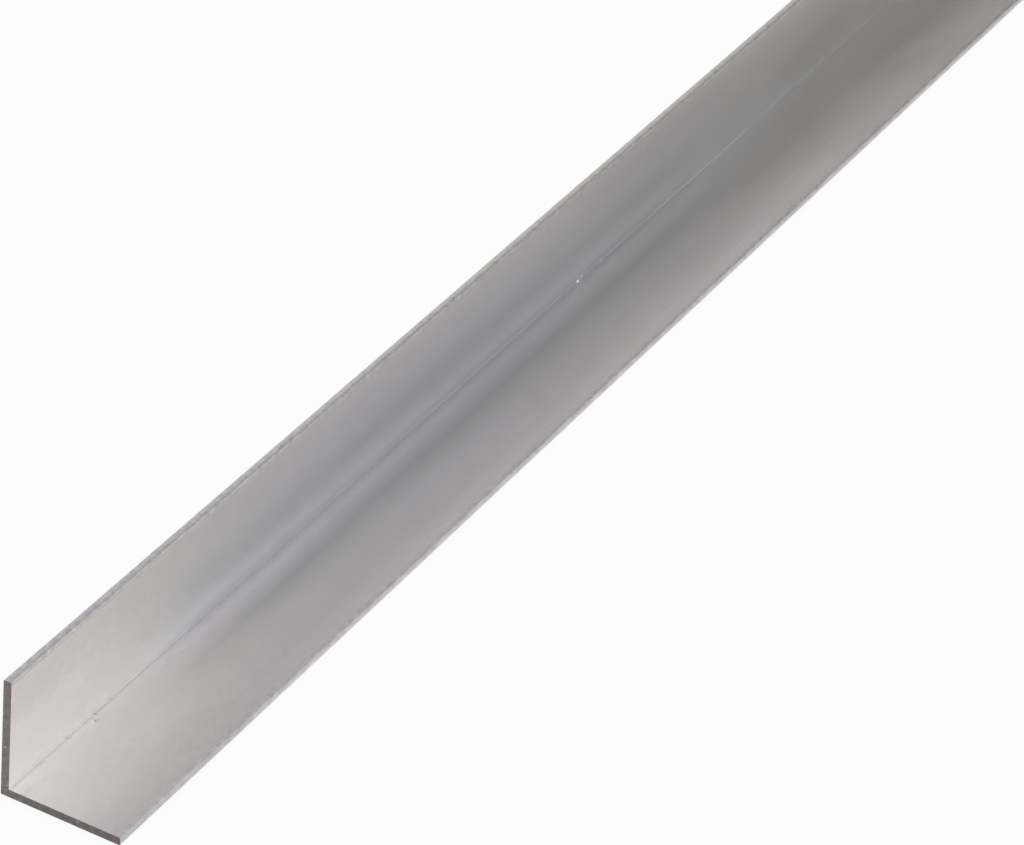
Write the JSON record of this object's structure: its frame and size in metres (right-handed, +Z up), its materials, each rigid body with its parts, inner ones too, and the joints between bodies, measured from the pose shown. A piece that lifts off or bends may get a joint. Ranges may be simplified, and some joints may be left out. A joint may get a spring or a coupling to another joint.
{
  "type": "aluminium angle section",
  "caption": "Equal-leg angle bar of thin extruded aluminium in mill finish, lying on one leg with the other upright, sawn square at both ends.",
  "frame": {"origin": "middle of the face that the bar lies on, which is the outer face of its flat leg: half way across that leg and half way along the bar", "axes": "+X across the flat leg from the heel to its toe, +Y along the bar, +Z up along the upright leg, which stands at the -X side"},
  "size_m": [0.03, 1, 0.03],
  "materials": {
    "mill_aluminium": "mill finish as extruded: satin, with faint die lines along the bar and sawn ends"
  },
  "bodies": {
    "root": {"angle_section": "mill_aluminium"}
  },
  "joints": []
}
